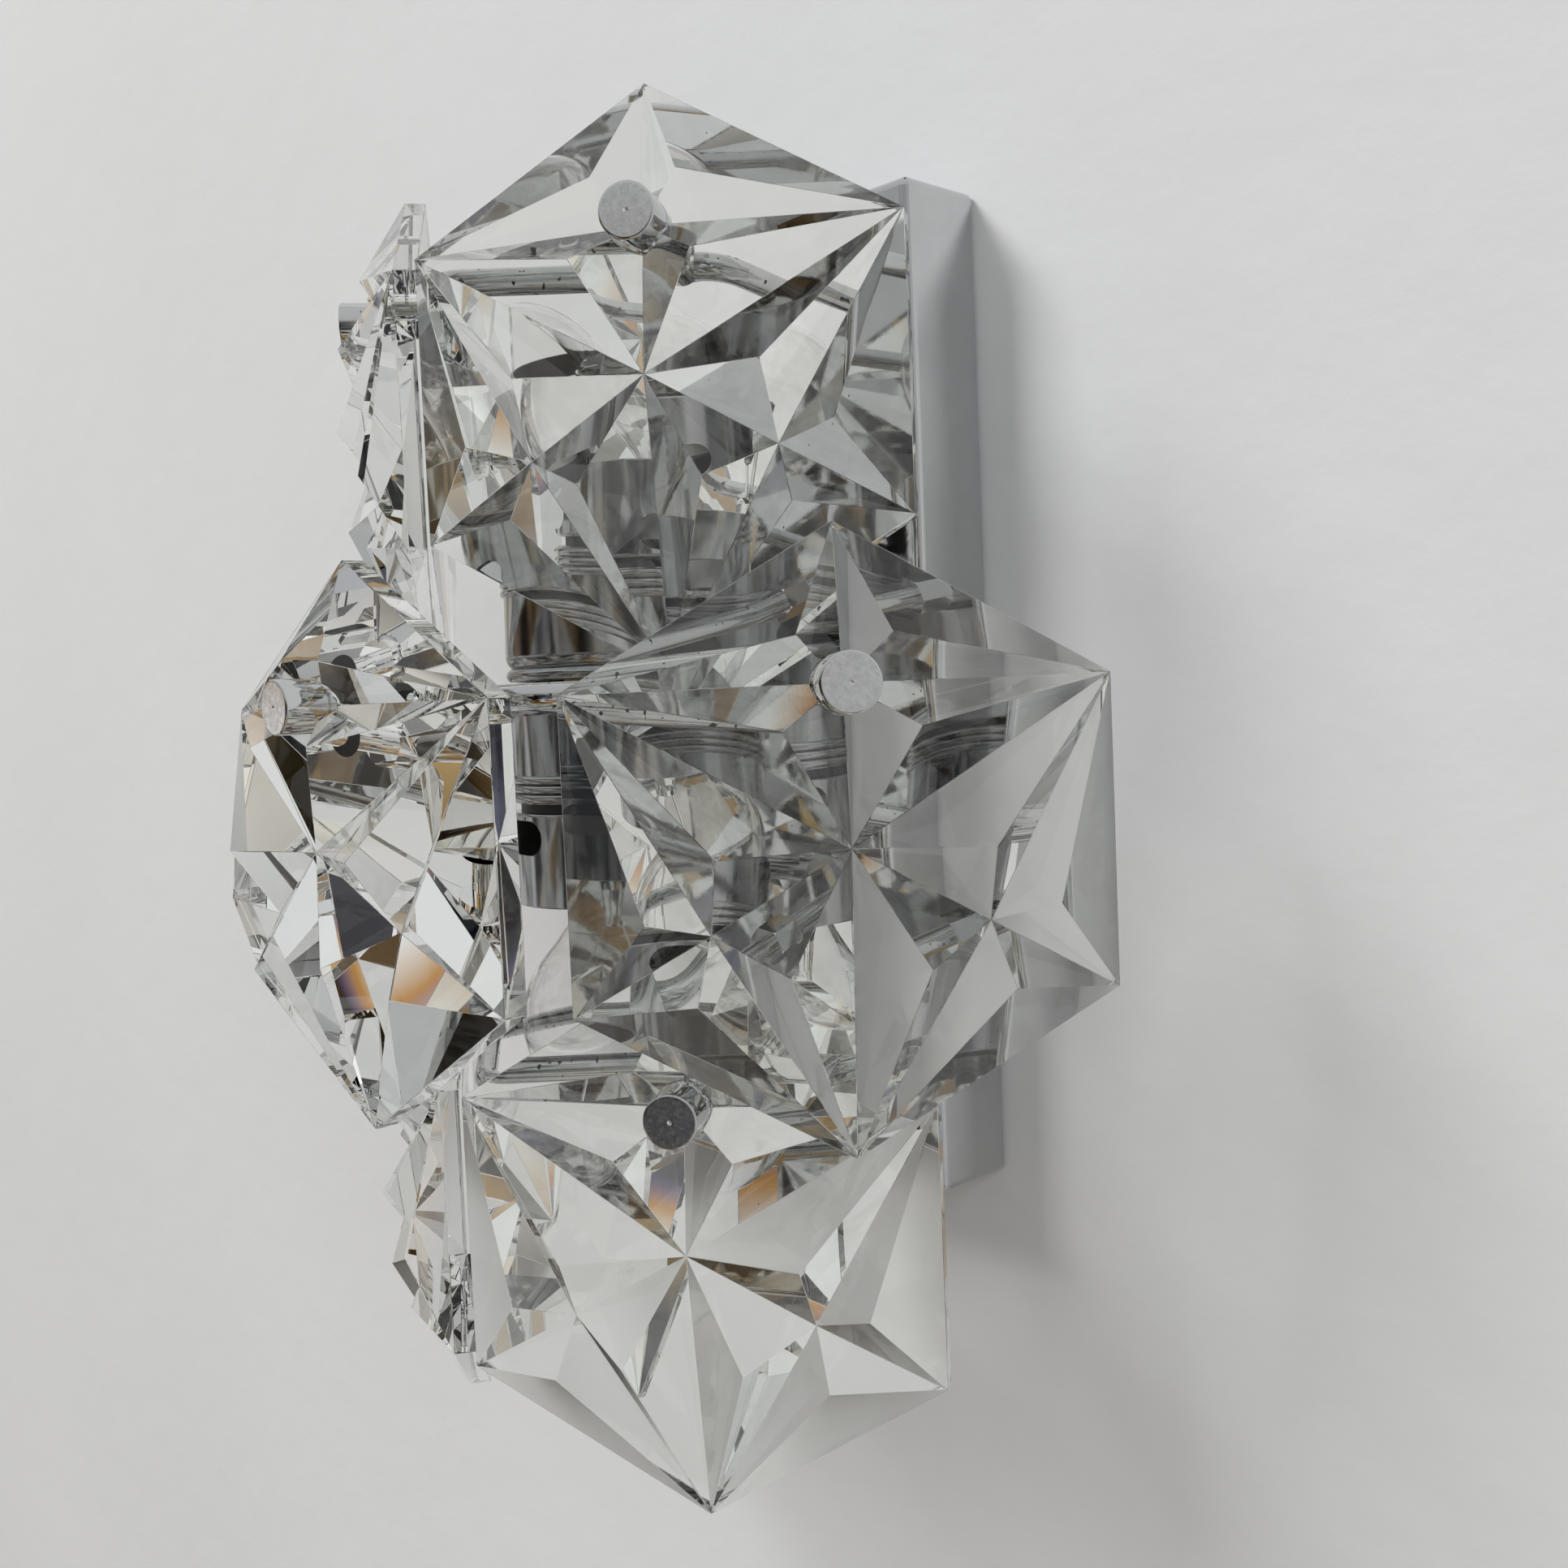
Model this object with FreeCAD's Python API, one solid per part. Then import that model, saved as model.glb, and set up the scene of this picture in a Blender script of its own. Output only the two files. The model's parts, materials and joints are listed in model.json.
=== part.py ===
import FreeCAD, Part
import math
import os

# Crystal wall sconce: seven pressed hexagon crystals hang in three rows before two round bulbs.
# Millimetres. The wall is the plane y = 0, the room lies towards -y, +x is right seen from the
# room and +z is up. The origin is the middle of the back box, on the wall.

# ---- driving dimensions ------------------------------------------------------------------------

# back box and wall plate
box_width = 130.0
box_height = 219.0
box_depth = 22.0
box_wall = 1.2
box_edge_radius = 2.0
wall_shadow_gap = 0.8
plate_width = 60.0
plate_thickness = 1.5
plate_slot_width = 5.0
plate_slot_length = 15.0
plate_slot_spacing = 130.0
cable_hole_radius = 10.0
cable_hole_height = -30.0
tab_depth = 15.0
tab_thickness = 2.0
tab_width = 24.0
screw_radius = 2.0
screw_line = -9.0
screw_length = 10.0
screw_head_radius = 3.6
screw_head_height = 2.0
earth_side = 18.0
earth_height = -48.0
tag_thickness = 1.0
tag_radius = 4.0

# crystals
across_flats = 100.0
girdle = 5.0
centre_height = 9.2
pin_seat_height = 5.6
nut_seat = 4.9
inner_peak_height = 16.0
outer_peak_height = 10.7
inner_peak_short = 7.8
inner_peak_long = 12.0
outer_peak_offset = 8.5

# rows of crystals: height of the pins, place of the pin on the girdle plane, turn from the wall
top_row = 92.5
middle_row = 3.0
bottom_row = -80.0
pair_offset = 45.6
pair_reach = 76.0
pair_turn = 34.5
flank_offset = 91.0
flank_reach = 75.0
flank_turn = 52.0
front_reach = 122.0

# rods, studs and nuts
rod_radius = 2.5
leg_offset = 46.0
leg_inside = 9.0
leg_drop = 8.0
leg_straight = 14.0
leg_bend_radius = 20.0
bend_radius = 10.0
apex_radius = 12.0
corner_radius_bar = 8.0
stud_radius = 2.0
stud_collar_radius = 3.6
hex_nut_flats = 8.0
hex_nut_height = 4.5
cap_nut_radius = 5.5
cap_nut_length = 10.7
bush_radius = 3.0

# fits
play = 0.3
turning_play = 0.06
seat_gap = 0.05

# lamp unit
lamp_height = 5.5
lamp_reach = 58.3
sheet = 0.8
tube_radius = 5.0
tube_bore = 3.9
bulb_radius = 22.5
bulb_centre = 77.0
bulb_tip = 27.0
bulb_neck = 8.3
bulb_neck_foot = 45.5
glass_thickness = 0.6
filament_half = 9.0
filament_radius = 0.9
holder_radius = 22.0
groove_radius = 20.8
foot_ring = 3.0
sleeve_foot = 1.0
sleeve_end = 26.0
bead_start = 19.8
bead_pitch = 2.0
spacer_end = 28.1
cup_end = 49.0
air_slot_height = 33.6
air_slot_radius = 3.85
air_slot_half = 5.3
first_air_slot = -106.0
socket_radius = 13.4
socket_base = 18.0
socket_mouth = 45.0
flange_radius = 17.0
flange_depth = 2.7
shell_outer = 8.2
shell_bore = 7.3
contact_foot = 24.6
lead_way = 2.2
lead_floor = 2.5
tee_radius = 9.0
tee_half = 9.0
nipple_foot = 5.0

# wiring
lead_radius = 0.8
way_radius = 1.6
way_spacing = 10.0
way_depth = -7.5
block_half = 15.0
block_front = -13.5
block_foot = 30.0
block_top = 46.0
clamp_rows = (34.0, 42.0)
clamp_radius = 1.6

# ---- derived -----------------------------------------------------------------------------------

filament_height = bulb_centre
corner = across_flats / math.sqrt(3.0)
pin_below_centre = corner / 2.0
flange_thickness = 0.8
bush_front = nut_seat + play
rod_setback = girdle + flange_thickness + play + 1.0 + rod_radius
box_front = -box_depth
tau = 2.0 * math.pi

Vector = FreeCAD.Vector
up = Vector(0, 0, 1)


class Station:
    """Where one crystal hangs: the pin axis on the girdle plane and the way the crystal faces."""

    def __init__(self, name, x, reach, height, turn):
        self.name = name
        angle = math.radians(turn)
        self.pin = Vector(x, -reach, height)
        self.side = Vector(math.cos(angle), math.sin(angle), 0)
        self.out = Vector(math.sin(angle), -math.cos(angle), 0)
        self.placement = FreeCAD.Placement(self.pin, FreeCAD.Rotation(self.side, up, self.out, "ZXY"))

    def place(self, shape):
        """Moves a shape from the crystal's frame (x right, y up, z out) to the sconce's."""
        moved = shape.copy()
        moved.Placement = self.placement.multiply(moved.Placement)
        return moved

    def behind(self, distance):
        """The point on the pin axis that far behind the girdle plane."""
        return self.pin - self.out * distance


stations = [
    Station("top_left", -pair_offset, pair_reach, top_row, -pair_turn),
    Station("top_right", pair_offset, pair_reach, top_row, pair_turn),
    Station("middle_left", -flank_offset, flank_reach, middle_row, -flank_turn),
    Station("middle_front", 0.0, front_reach, middle_row, 0.0),
    Station("middle_right", flank_offset, flank_reach, middle_row, flank_turn),
    Station("bottom_left", -pair_offset, pair_reach, bottom_row, -pair_turn),
    Station("bottom_right", pair_offset, pair_reach, bottom_row, pair_turn),
]
by_name = {station.name: station for station in stations}


# ---- tools -------------------------------------------------------------------------------------


def cylinder(radius, start, direction, length):
    return Part.makeCylinder(radius, length, Vector(*start), Vector(*direction))


def ring(outer, inner, start, direction, length):
    return cylinder(outer, start, direction, length).cut(cylinder(inner, start, direction, length))


def block(low, high):
    size = [b - a for a, b in zip(low, high)]
    return Part.makeBox(size[0], size[1], size[2], Vector(*low))


def fused(shapes):
    whole = shapes[0]
    if len(shapes) > 1:
        whole = whole.fuse(shapes[1:])
    return whole.removeSplitter()


def turned(outline):
    """Turns an outline of (radius, height) points, or arcs given as a middle and an end point,
    around the z axis."""
    edges = []
    here = Vector(outline[0][0], 0, outline[0][1])
    first = here
    for step in outline[1:]:
        if len(step) == 4:
            middle = Vector(step[0], 0, step[1])
            there = Vector(step[2], 0, step[3])
            edges.append(Part.Arc(here, middle, there).toShape())
        else:
            there = Vector(step[0], 0, step[1])
            edges.append(Part.makeLine(here, there))
        here = there
    if (here - first).Length > 1e-6:
        edges.append(Part.makeLine(here, first))
    face = Part.Face(Part.Wire(edges))
    return face.revolve(Vector(0, 0, 0), up, 360)


def bent_path(points, radii):
    """Straight runs through the points, joined by tangent arcs, one radius for each inner point."""
    edges = []
    here = points[0]
    for before, point, after, radius in zip(points, points[1:], points[2:], radii):
        way_in = (point - before).normalize()
        way_out = (after - point).normalize()
        turn = way_in.getAngle(way_out)
        tangent = radius * math.tan(turn / 2.0)
        start = point - way_in * tangent
        end = point + way_out * tangent
        inward = (way_out - way_in).normalize()
        middle = point + inward * (radius / math.cos(turn / 2.0) - radius)
        edges.append(Part.makeLine(here, start))
        edges.append(Part.Arc(start, middle, end).toShape())
        here = end
    edges.append(Part.makeLine(here, points[-1]))
    return Part.Wire(edges)


def swept(points, radii, radius):
    """A round bar along a bent path."""
    path = bent_path(points, radii)
    direction = (points[1] - points[0]).normalize()
    section = Part.Wire([Part.makeCircle(radius, points[0], direction)])
    return path.makePipeShell([section], True, False)


def hexagon_nut(flats, bore, start, direction, height):
    centre = Vector(*start)
    along = Vector(*direction)
    across = along.cross(up).normalize()
    other = along.cross(across)
    radius = flats / math.sqrt(3.0)
    turns = [tau * step / 6.0 for step in range(7)]
    points = [centre + across * (radius * math.cos(a)) + other * (radius * math.sin(a)) for a in turns]
    prism = Part.Face(Part.makePolygon(points)).extrude(along * height)
    cone_height = 2 * height + 0.5
    chamfer = Part.makeCone(radius + height, radius - 0.5, cone_height, centre - along * height, along)
    body = prism.common(chamfer)
    return body.cut(cylinder(bore, start, direction, height))


def save(name, shape):
    shape.exportStep("parts/" + name + ".step")


# ---- crystals ----------------------------------------------------------------------------------


def crystal_corner(number):
    """Corner of the girdle, 0 at the top and then clockwise, in the crystal's frame."""
    angle = math.radians(90.0 - 60.0 * number)
    return Vector(corner * math.cos(angle), corner * math.sin(angle) - pin_below_centre, 0)


def star_point(number):
    """The three foot points of the relief: half way from the centre to corners 0, 2 and 4."""
    centre = Vector(0, -pin_below_centre, 0)
    foot = centre + (crystal_corner(number) - centre) * 0.5
    return foot + up * pin_seat_height


def crystal_facets():
    """The hexagon is split into twelve right triangles around the three star points, and each
    triangle rises to a peak, which gives three facets."""
    middle = Vector(0, -pin_below_centre, centre_height)
    triangles = []
    for number in (0, 2, 4):
        foot = star_point(number)
        for far in (crystal_corner((number + 1) % 6), crystal_corner((number + 5) % 6)):
            near = crystal_corner(number)
            outer = (foot, near, far, outer_peak_offset, outer_peak_offset, outer_peak_height)
            inner = (foot, middle, far, inner_peak_short, inner_peak_long, inner_peak_height)
            triangles.append(outer)
            triangles.append(inner)
    facets = []
    for foot, near, far, along_short, along_long, height in triangles:
        flat_foot = Vector(foot.x, foot.y, 0)
        to_near = (Vector(near.x, near.y, 0) - flat_foot).normalize()
        to_far = (Vector(far.x, far.y, 0) - flat_foot).normalize()
        peak = flat_foot + to_near * along_short + to_far * along_long + up * height
        for a, b in ((foot, near), (near, far), (far, foot)):
            facets.append((a, b, peak))
    return facets


def crystal():
    corners = [crystal_corner(number) for number in range(6)]
    backs = [point - up * girdle for point in corners]
    outlines = [list(facet) for facet in crystal_facets()]
    for number in range(6):
        after = (number + 1) % 6
        outlines.append([corners[number], corners[after], backs[after], backs[number]])
    outlines.append(backs)
    faces = [Part.Face(Part.makePolygon(points + points[:1])) for points in outlines]
    shell = Part.Shell(faces)
    body = Part.Solid(shell)
    if body.Volume < 0:
        body.reverse()
    spot_radius = cap_nut_radius + play
    bore = turned([
        (0, -girdle - 1),
        (bush_radius, -girdle - 1),
        (bush_radius, nut_seat),
        (spot_radius, nut_seat),
        (spot_radius, inner_peak_height),
        (0, inner_peak_height),
    ])
    return body.cut(bore)


def crystal_bush():
    """Clear plastic sleeve in the crystal's hole, with a flange behind the glass."""
    bore = stud_radius + turning_play
    barrel = bush_radius - seat_gap
    back = -girdle
    flange_back = back - flange_thickness
    return turned([
        (bore, flange_back),
        (barrel + 2.0, flange_back),
        (barrel + 2.0, back),
        (barrel, back),
        (barrel, bush_front),
        (bore, bush_front),
    ])


def cap_nut():
    """Turned chromed nut that holds the crystal: a flanged foot, a groove and a flat face with
    the dimple that the lathe centre leaves."""
    foot = bush_front + play
    top = foot + cap_nut_length
    groove = foot + 1.6
    hole = stud_radius + seat_gap
    hole_end = top - 2.5
    face = cap_nut_radius - 0.6
    return turned([
        (hole, foot),
        (cap_nut_radius, foot),
        (cap_nut_radius, groove),
        (cap_nut_radius - 0.5, groove + 0.4),
        (cap_nut_radius, groove + 0.8),
        (cap_nut_radius, top - 0.6),
        (face, top),
        (0.5, top),
        (0, top - 0.4),
        (0, hole_end),
        (hole, hole_end),
    ])


def stud():
    """Threaded stud welded to the rod behind the crystal, with a collar that stops the bush."""
    collar_front = -girdle - flange_thickness - play
    tip = bush_front + play + cap_nut_length - 3.0
    shank = cylinder(stud_radius, (0, 0, -rod_setback), (0, 0, 1), tip + rod_setback)
    collar = cylinder(stud_collar_radius, (0, 0, -rod_setback), (0, 0, 1), collar_front + rod_setback)
    return shank.fuse(collar).removeSplitter()


# ---- rods --------------------------------------------------------------------------------------


def hoop(left, right):
    """Rod bent once round each crystal of a pair and at the middle, with a leg at each end."""
    height = right.pin.z
    leg_back = Vector(leg_offset, box_front + leg_inside, height)
    run = right.behind(rod_setback)
    slope = right.side.y / right.side.x
    shoulder = Vector(leg_offset, run.y + (leg_offset - run.x) * slope, height)
    apex = Vector(0, run.y - run.x * slope, height)
    other_shoulder = Vector(-shoulder.x, shoulder.y, height)
    other_back = Vector(-leg_back.x, leg_back.y, height)
    points = [leg_back, shoulder, apex, other_shoulder, other_back]
    return swept(points, [bend_radius, apex_radius, bend_radius], rod_radius)


def bar_corner():
    """Where the front bar turns from the front crystal to the flank crystal."""
    flank = by_name["middle_right"]
    run = flank.behind(rod_setback)
    front = by_name["middle_front"].behind(rod_setback)
    back_along = (run.y - front.y) / flank.side.y
    return run - flank.side * back_along


def front_bar():
    """Rod behind the three middle crystals, with one bend on each side of the front crystal."""
    flank = by_name["middle_right"]
    end = flank.behind(rod_setback) + flank.side * (stud_collar_radius + 1.0)
    bend = bar_corner()
    points = [end, bend, Vector(-bend.x, bend.y, bend.z), Vector(-end.x, end.y, end.z)]
    return swept(points, [corner_radius_bar, corner_radius_bar], rod_radius)


def middle_legs(bar):
    """Rods that leave the box square to it, a little below the front bar, then bend and rise to
    the bar, where they are coped to sit on it."""
    front = by_name["middle_front"].behind(rod_setback)
    foot = middle_row - leg_drop
    legs = []
    for x in (-leg_offset, leg_offset):
        start = Vector(x, box_front + leg_inside, foot)
        bend = Vector(x, box_front - leg_straight, foot)
        end = Vector(x, front.y, middle_row)
        leg = swept([start, bend, end], [leg_bend_radius], rod_radius).cut(bar)
        legs.append(max(leg.Solids, key=lambda solid: solid.Volume))
    return legs


def leg_places():
    places = []
    for height in (top_row, middle_row - leg_drop, bottom_row):
        for x in (-leg_offset, leg_offset):
            places.append((x, height))
    return places


# ---- back box ----------------------------------------------------------------------------------


def back_box():
    """Chromed cover, open to the wall, with rounded front edges and holes for the rods and tube."""
    half = box_width / 2.0
    tall = box_height / 2.0
    outer = block((-half, box_front, -tall), (half, -wall_shadow_gap, tall))
    front_edges = []
    for edge in outer.Edges:
        middle = edge.CenterOfMass
        runs_back = edge.Vertexes[0].Point.y != edge.Vertexes[-1].Point.y
        if abs(middle.y - box_front) < 0.01 or runs_back:
            front_edges.append(edge)
    outer = outer.makeFillet(box_edge_radius, front_edges)
    inner_half = half - box_wall
    inner_tall = tall - box_wall
    inner = block((-inner_half, box_front + box_wall, -inner_tall), (inner_half, 1.0, inner_tall))
    cover = outer.cut(inner)
    for x, height in leg_places():
        cover = cover.cut(cylinder(rod_radius + seat_gap, (x, 0, height), (0, -1, 0), box_depth + 1))
    cover = cover.cut(cylinder(tube_radius + seat_gap, (0, 0, lamp_height), (0, -1, 0), box_depth + 1))
    for side in (-1, 1):
        start = (0, screw_line, side * (tall - 2 * box_wall))
        cover = cover.cut(cylinder(screw_radius + seat_gap, start, (0, 0, side), 4 * box_wall))
    return cover


def wall_plate():
    """Steel plate on the wall with two slots, a cable hole and a tab at each end for the box."""
    tall = box_height / 2.0 - box_wall - seat_gap
    half = plate_width / 2.0
    plate = block((-half, -plate_thickness, -tall), (half, 0, tall))
    for side in (-1, 1):
        low = side * tall if side < 0 else tall - tab_thickness
        tab = block((-tab_width / 2, -tab_depth, low), (tab_width / 2, -plate_thickness, low + tab_thickness))
        plate = plate.fuse(tab)
    plate = plate.removeSplitter()
    for side in (-1, 1):
        start = (0, screw_line, side * (tall - 2 * tab_thickness))
        plate = plate.cut(cylinder(screw_radius + seat_gap, start, (0, 0, side), 3 * tab_thickness))
        plate = plate.cut(slot_cutter(side * plate_slot_spacing / 2.0))
    return plate.cut(cylinder(cable_hole_radius, (0, 1, cable_hole_height), (0, -1, 0), 4))


def slot_cutter(height):
    """Upright slot with round ends, through the wall plate."""
    straight = (plate_slot_length - plate_slot_width) / 2.0
    radius = plate_slot_width / 2.0
    middle = block((-radius, -3, height - straight), (radius, 1, height + straight))
    ends = [cylinder(radius, (0, 1, height + end), (0, -1, 0), 4) for end in (-straight, straight)]
    return middle.fuse(ends)


def box_screws():
    """Round headed screws through the ends of the box into the tabs."""
    end = box_height / 2.0
    screws = []
    for side in (-1, 1):
        base = side * end
        top = base + side * screw_head_height
        shank = cylinder(screw_radius, (0, screw_line, base), (0, 0, -side), screw_length)
        head = cylinder(screw_head_radius, (0, screw_line, base), (0, 0, side), screw_head_height)
        rim = [edge for edge in head.Edges if abs(edge.CenterOfMass.z - top) < 0.01]
        head = head.makeFillet(1.2, rim)
        slot_foot = top - side * 0.9
        slot_end = top + side * 0.1
        across = screw_head_radius + 0.4
        slot_low = (-across, screw_line - 0.4, min(slot_foot, slot_end))
        slot_high = (across, screw_line + 0.4, max(slot_foot, slot_end))
        screws.append(shank.fuse(head).cut(block(slot_low, slot_high)).removeSplitter())
    return screws


# ---- lamp unit ---------------------------------------------------------------------------------
# Each half is turned about the lamp's upright axis, with heights measured from the middle plane
# of the unit. The upper half stands up and the lower half is its mirror.


def lamp_place(shape, upper):
    moved = shape.copy()
    if not upper:
        moved = moved.mirror(Vector(0, 0, 0), up)
    moved.translate(Vector(0, -lamp_reach, lamp_height))
    return moved


def tube_notch():
    """Clearance for the tube where it enters the side of a sleeve, in the lamp's own frame."""
    width = tube_radius + play
    notch = cylinder(width, (0, 0, 0), (0, 1, 0), holder_radius + 5)
    return notch.fuse(block((-width, 0, -1), (width, holder_radius + 5, 0.5)))


def sleeve():
    """Turned sleeve: a rolled foot, a slightly tapered wall, three beads and a closed end."""
    ring_top = sleeve_foot + foot_ring
    shoulder = ring_top + 2.6
    outline = [(groove_radius - sheet, sleeve_foot), (groove_radius + 0.4, sleeve_foot)]
    outline.append((holder_radius, sleeve_foot + foot_ring * 0.5, groove_radius, ring_top))
    outline.append((holder_radius - 0.5, ring_top + 0.9, holder_radius, shoulder))
    outline.append((holder_radius - 0.3, bead_start))
    for number in range(3):
        low = bead_start + number * bead_pitch
        outline.append((holder_radius + 0.5, low + bead_pitch / 2, holder_radius - 0.3, low + bead_pitch))
    outline.append((holder_radius - 0.3, sleeve_end))
    outline.append((socket_radius + 0.2, sleeve_end))
    outline.append((socket_radius + 0.2, sleeve_end - sheet))
    outline.append((holder_radius - 0.3 - sheet, sleeve_end - sheet))
    outline.append((holder_radius - sheet, shoulder))
    outline.append((groove_radius - sheet, ring_top))
    body = turned(outline)
    return body.cut(tube_notch())


def spacer():
    """Black insulating ring between the sleeve and the cup."""
    outer = holder_radius - 1.8
    inner = socket_radius + 0.2
    return ring(outer, inner, (0, 0, sleeve_end), (0, 0, 1), spacer_end - sleeve_end)


def cup():
    """Open cup around the bulb's foot, with four round ended air slots in its wall."""
    inner = holder_radius - sheet
    body = turned([
        (socket_radius + 0.2, spacer_end),
        (holder_radius - 0.8, spacer_end),
        (holder_radius - 0.23, spacer_end + 0.23, holder_radius, spacer_end + 0.8),
        (holder_radius, cup_end - 0.4),
        (holder_radius - 0.4, cup_end, inner, cup_end - 0.4),
        (inner, spacer_end + sheet),
        (socket_radius + 0.2, spacer_end + sheet),
    ])
    reach = 12.0
    for number in range(4):
        angle = math.radians(first_air_slot + 90.0 * number)
        out = Vector(math.cos(angle), math.sin(angle), 0)
        side = Vector(-math.sin(angle), math.cos(angle), 0)
        start = out * (inner - reach / 2) + up * air_slot_height
        rise = up * air_slot_radius
        ends = [start + side * (end * air_slot_half) for end in (-1, 1)]
        corners = [ends[0] - rise, ends[1] - rise, ends[1] + rise, ends[0] + rise]
        cutter = Part.Face(Part.makePolygon(corners + corners[:1])).extrude(out * reach)
        for end in ends:
            cutter = cutter.fuse(Part.makeCylinder(air_slot_radius, reach, end, out))
        body = body.cut(cutter)
    return body


def shade_ring():
    """Threaded ring on the socket that clamps the cup."""
    body = ring(socket_radius + 3.4, socket_radius + seat_gap, (0, 0, spacer_end + sheet), (0, 0, 1), 4.0)
    for number in range(8):
        angle = tau * number / 8.0
        x = (socket_radius + 3.8) * math.cos(angle)
        y = (socket_radius + 3.8) * math.sin(angle)
        body = body.cut(cylinder(0.9, (x, y, spacer_end), (0, 0, 1), 8.0))
    return body


def socket():
    """Ceramic lamp socket with a flange under the sleeve's end and a bore for the screw shell."""
    nipple_way = tube_radius + seat_gap
    lead_foot = contact_foot - lead_floor
    return turned([
        (nipple_way, socket_base),
        (socket_radius, socket_base),
        (socket_radius, sleeve_end - sheet - flange_depth),
        (flange_radius, sleeve_end - sheet - flange_depth),
        (flange_radius, sleeve_end - sheet),
        (socket_radius, sleeve_end - sheet),
        (socket_radius, socket_mouth),
        (shell_outer, socket_mouth),
        (shell_outer, contact_foot),
        (lead_way, contact_foot),
        (lead_way, lead_foot),
        (nipple_way, lead_foot),
    ])


def screw_shell():
    """Screw shell of the socket, standing in its bore."""
    foot = bulb_tip + 1.5
    return ring(shell_outer - seat_gap, shell_bore, (0, 0, foot), (0, 0, 1), socket_mouth - 1.5 - foot)


def contact():
    """Sprung centre contact: a foot across the lead hole and a raised tongue under the bulb."""
    blade = 0.6
    tongue_foot = contact_foot + blade
    foot = cylinder(4.2, (0, 0, contact_foot), (0, 0, 1), blade)
    button = cylinder(1.6, (0, 0, tongue_foot), (0, 0, 1), bulb_tip - play - tongue_foot)
    return foot.fuse(button).removeSplitter()


def tee_piece():
    """Block in the middle of the lamp unit that joins the tube to the two nipples."""
    body = cylinder(tee_radius, (0, 0, -tee_half), (0, 0, 1), 2 * tee_half)
    body = body.cut(cylinder(tube_radius + seat_gap, (0, 2.0, 0), (0, 1, 0), 12))
    body = body.cut(cylinder(tube_bore, (0, -6.0, 0), (0, 1, 0), 12))
    body = body.cut(cylinder(tube_bore, (0, 0, -tee_half - 1), (0, 0, 1), 2 * tee_half + 2))
    for side in (-1, 1):
        body = body.cut(cylinder(tube_radius + seat_gap, (0, 0, side * nipple_foot), (0, 0, side), tee_half))
    return body


def nipple():
    """Threaded tube from the tee piece to the foot of a socket."""
    top = contact_foot - lead_floor
    return ring(tube_radius, tube_bore, (0, 0, nipple_foot), (0, 0, 1), top - nipple_foot)


def lamp_tube():
    """Tube that carries the lamp unit off the box."""
    inner_end = box_front + 8.0
    outer_end = -lamp_reach + 2.0
    return ring(tube_radius, tube_bore, (0, inner_end, lamp_height), (0, -1, 0), inner_end - outer_end)


def tube_nuts():
    outside = hexagon_nut(14.0, tube_radius + seat_gap, (0, box_front, lamp_height), (0, -1, 0), 3.0)
    inside = hexagon_nut(14.0, tube_radius + seat_gap, (0, box_front + box_wall, lamp_height), (0, 1, 0), 3.0)
    return [outside, inside]


# ---- bulbs -------------------------------------------------------------------------------------


def bulb_outline(offset):
    """Outline of the round bulb's glass from its neck to its crown, moved in by the offset."""
    radius = bulb_radius - offset
    neck = bulb_neck - offset
    join = math.radians(52.0)
    join_radius = radius * math.sin(join)
    join_height = bulb_centre - radius * math.cos(join)
    return [
        (neck, bulb_neck_foot),
        (neck, 50.0),
        (12.1 - offset, 56.2, join_radius, join_height),
        (radius, bulb_centre, 0, bulb_centre + radius),
    ]


def bulb_glass():
    outer = turned([(0, bulb_neck_foot)] + bulb_outline(0.0))
    inner = turned([(0, bulb_neck_foot)] + bulb_outline(glass_thickness))
    return outer.cut(inner)


def bulb_cap():
    """Screw cap with four rolled threads, an insulator and the centre contact."""
    root = 6.5
    crest = 7.0
    outline = [(0, bulb_tip), (2.0, bulb_tip), (2.6, bulb_tip + 1.2), (3.2, bulb_tip + 1.6)]
    outline.append((root, bulb_tip + 4.0))
    pitch = 2.8
    low = bulb_tip + 4.2
    outline.append((root, low))
    for number in range(4):
        start = low + number * pitch
        outline.append((crest, start + pitch / 2, root, start + pitch))
    skirt = bulb_neck + 0.5
    outline.append((root, socket_mouth - 0.4))
    outline.append((skirt, socket_mouth + play))
    outline.append((skirt, bulb_neck_foot + 2.5))
    outline.append((bulb_neck + seat_gap, bulb_neck_foot + 2.5))
    outline.append((bulb_neck + seat_gap, bulb_neck_foot))
    outline.append((0, bulb_neck_foot))
    return turned(outline)


def bulb_mount():
    """Glass stem with the two lead wires that hold the filament."""
    foot = bulb_neck_foot
    pinch_radius = 2.4
    pinch_foot = foot + 15.0
    pinch_top = pinch_foot + 3.0
    stem = turned([
        (0, foot),
        (5.0, foot),
        (3.2, foot + 8.0),
        (pinch_radius, pinch_foot),
        (pinch_radius, pinch_top),
        (0, pinch_top),
    ])
    parts = [stem]
    for side in (-1, 1):
        pinch = Vector(side * 1.6, 0, pinch_foot + 0.5)
        tip = Vector(side * filament_half, 0, filament_height - filament_radius - 0.1)
        length = (tip - pinch).Length
        parts.append(Part.makeCylinder(0.35, length, pinch, tip - pinch))
    return fused(parts)


def filament():
    """Filament coil between the lead wires, as one bar."""
    end = filament_half + 0.4
    return cylinder(filament_radius, (-end, 0, filament_height), (1, 0, 0), 2 * end)


# ---- wiring inside the box and the tube ----------------------------------------------------------


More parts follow.
